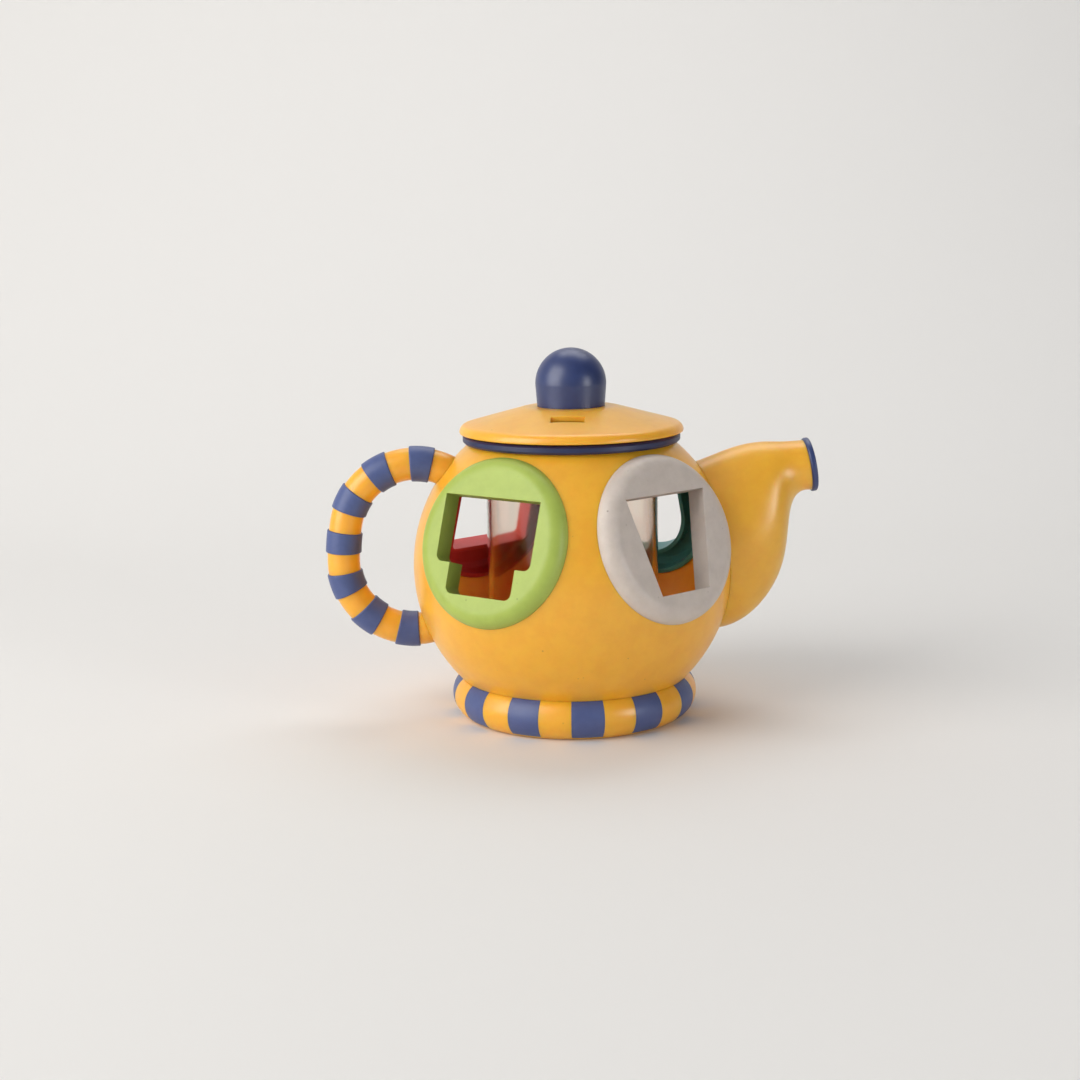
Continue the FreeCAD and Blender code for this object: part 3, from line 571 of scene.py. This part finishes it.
def square_plate():
    """The rear plate with the square hole: round edge, skirt with a bead, and a tunnel wall."""
    edge = PLATE_FACE - PLATE_SEAT
    profile = [(0.0, PLATE_FACE)]
    for step in range(EDGE_STEPS + 1):
        turn = math.pi / 2 * (1 - step / EDGE_STEPS)
        profile.append((PLATE_RADIUS - edge + edge * math.cos(turn), PLATE_SEAT + edge * math.sin(turn)))
    profile += [(SKIRT_RADIUS, PLATE_SEAT + SKIRT_ROOT),
                (SKIRT_RADIUS, SKIRT_END + SKIRT_BEAD * (2 + BEAD_GAP)),
                (SKIRT_RADIUS + SKIRT_BEAD, SKIRT_END + SKIRT_BEAD * (1 + BEAD_GAP)),
                (SKIRT_RADIUS, SKIRT_END + SKIRT_BEAD * BEAD_GAP),
                (SKIRT_RADIUS, SKIRT_END), (SKIRT_BORE, SKIRT_END),
                (SKIRT_BORE, PLATE_UNDER - SKIRT_FILLET), (SKIRT_BORE - SKIRT_FILLET, PLATE_UNDER),
                (0.0, PLATE_UNDER)]
    low = PLATE_FACE - TUNNEL_DEPTH
    sleeve = prism("sleeve", rounded_square(TUNNEL_WALL, SQUARE_CORNER + TUNNEL_WALL), low,
                   (PLATE_FACE + PLATE_UNDER) / 2)
    hole = prism("hole", rounded_square(0.0, SQUARE_CORNER), low - TUNNEL_WALL, PLATE_FACE + TUNNEL_WALL)
    plate = combined("square_plate", lathe("square_plate_form", profile, steps=PLATE_STEPS),
                     [("UNION", sleeve), ("DIFFERENCE", hole)])
    plate.transform(Matrix.Translation((0, 0, BALL_MIDDLE)) @ Matrix.Rotation(math.radians(PORT_TURN), 4, "Z")
                    @ Matrix.Rotation(math.radians(90 - PORT_TILT), 4, "X"))
    fitted("square_plate", plate, RED, "pot", "port_plate_red")


# ---- studio --------------------------------------------------------------------------------

POT_MIDDLE = Vector((0, 0, 0.085))

SWEEP_FRONT = -2.2
SWEEP_BACK = 1.1
SWEEP_BEND = 0.7
SWEEP_TOP = 2.4
SWEEP_HALF_WIDTH = 2.6
SWEEP_STEPS = 24
SWEEP_COLOUR = linear(227, 225, 222)
SWEEP_ROUGHNESS = 0.9

ROOM_COLOUR = (0.95, 0.97, 1.0, 1.0)
ROOM_LEFT_LEVEL = 0.60
ROOM_RIGHT_LEVEL = 0.13

FOCAL_PIXELS = 1724.4
FRAME_PIXELS = 1080
SENSOR_WIDTH = 36.0
CAMERA_PLACE = Vector((-0.0524, -0.8323, 0.2416))
CAMERA_HEADING = math.radians(2.5)
CAMERA_PITCH = math.radians(-10.58)
CAMERA_ROLL = math.radians(-0.89)


def backdrop():
    """A pale floor that sweeps up into a wall behind the object."""
    bend = SWEEP_BEND
    profile = [(SWEEP_FRONT, 0.0), (SWEEP_BACK - bend, 0.0)]
    for step in range(1, SWEEP_STEPS + 1):
        turn = math.pi / 2 * step / SWEEP_STEPS
        profile.append((SWEEP_BACK - bend + bend * math.sin(turn), bend - bend * math.cos(turn)))
    profile.append((SWEEP_BACK, SWEEP_TOP))
    corners = [(side * SWEEP_HALF_WIDTH, y, z) for y, z in profile for side in (-1, 1)]
    faces = [(2 * row, 2 * row + 1, 2 * row + 3, 2 * row + 2) for row in range(len(profile) - 1)]
    mesh = bpy.data.meshes.new("backdrop")
    mesh.from_pydata(corners, [], faces)
    mesh.shade_smooth()
    sweep = bpy.data.objects.new("backdrop", mesh)
    bpy.context.scene.collection.objects.link(sweep)
    surface = Surface("backdrop_paper")
    surface.set(Base_Color=SWEEP_COLOUR, Roughness=SWEEP_ROUGHNESS)
    mesh.materials.append(surface.material)


def soft_light(name, place, width, height, watts, colour=(1.0, 1.0, 1.0)):
    """A rectangular lamp that faces the pot."""
    light = bpy.data.lights.new(name, "AREA")
    light.shape = "RECTANGLE"
    light.size = width
    light.size_y = height
    light.energy = watts
    light.color = colour
    lamp = bpy.data.objects.new(name, light)
    lamp.location = place
    lamp.rotation_euler = (POT_MIDDLE - Vector(place)).to_track_quat("-Z", "Y").to_euler()
    bpy.context.scene.collection.objects.link(lamp)


def room():
    """Soft light from all round, brighter from the left, where the room's window is."""
    world = bpy.data.worlds.new("room")
    world.use_nodes = True
    tree = world.node_tree
    background = tree.nodes["Background"]
    background.inputs["Color"].default_value = ROOM_COLOUR
    spot = tree.nodes.new("ShaderNodeSeparateXYZ")
    level = tree.nodes.new("ShaderNodeMapRange")
    level.interpolation_type = "SMOOTHSTEP"
    level.inputs["From Min"].default_value = -1.0
    level.inputs["To Min"].default_value = ROOM_LEFT_LEVEL
    level.inputs["To Max"].default_value = ROOM_RIGHT_LEVEL
    tree.links.new(tree.nodes.new("ShaderNodeTexCoord").outputs["Generated"], spot.inputs[0])
    tree.links.new(spot.outputs["X"], level.inputs["Value"])
    tree.links.new(level.outputs["Result"], background.inputs["Strength"])
    bpy.context.scene.world = world


def camera():
    """The photograph's camera: 1080 x 1080 frame, standing in front and a little to the left."""
    level = math.cos(CAMERA_PITCH)
    look = Vector((math.sin(CAMERA_HEADING) * level, math.cos(CAMERA_HEADING) * level,
                   math.sin(CAMERA_PITCH)))
    view = bpy.data.cameras.new("camera")
    view.sensor_width = SENSOR_WIDTH
    view.lens = FOCAL_PIXELS / FRAME_PIXELS * SENSOR_WIDTH
    eye = bpy.data.objects.new("camera", view)
    eye.location = CAMERA_PLACE
    eye.rotation_mode = "QUATERNION"
    eye.rotation_quaternion = look.to_track_quat("-Z", "Y") @ Quaternion((0, 0, 1), CAMERA_ROLL)
    bpy.context.scene.collection.objects.link(eye)
    bpy.context.scene.camera = eye


# ---- the scene -----------------------------------------------------------------------------

dress_nodes()
screws("ring_screws", "base_screws", "pot", BASE_SCREW_LENGTH,
       [(x * BASE_SCREW_SPOT, y * BASE_SCREW_SPOT, BASE_SCREW_SEAT) for x in (-1, 1) for y in (-1, 1)])
clear_canister()
moulded_lid()
square_plate()
screws("lid_screw", "knob_screw", "lid", KNOB_SCREW_LENGTH, [(0.0, 0.0, KNOB_SCREW_SEAT)])
backdrop()
room()
soft_light("key", place=(-1.32, -0.72, 0.80), width=1.3, height=1.7, watts=25.0, colour=(1.0, 0.98, 0.95))
soft_light("window", place=(1.0, -0.85, 0.25), width=0.3, height=0.6, watts=4.2, colour=(0.97, 0.98, 1.0))
soft_light("back", place=(0.2, 0.7, 1.5), width=1.4, height=0.8, watts=8.2)
camera()
bpy.context.scene.view_settings.view_transform = "Standard"

bpy.context.view_layer.update()
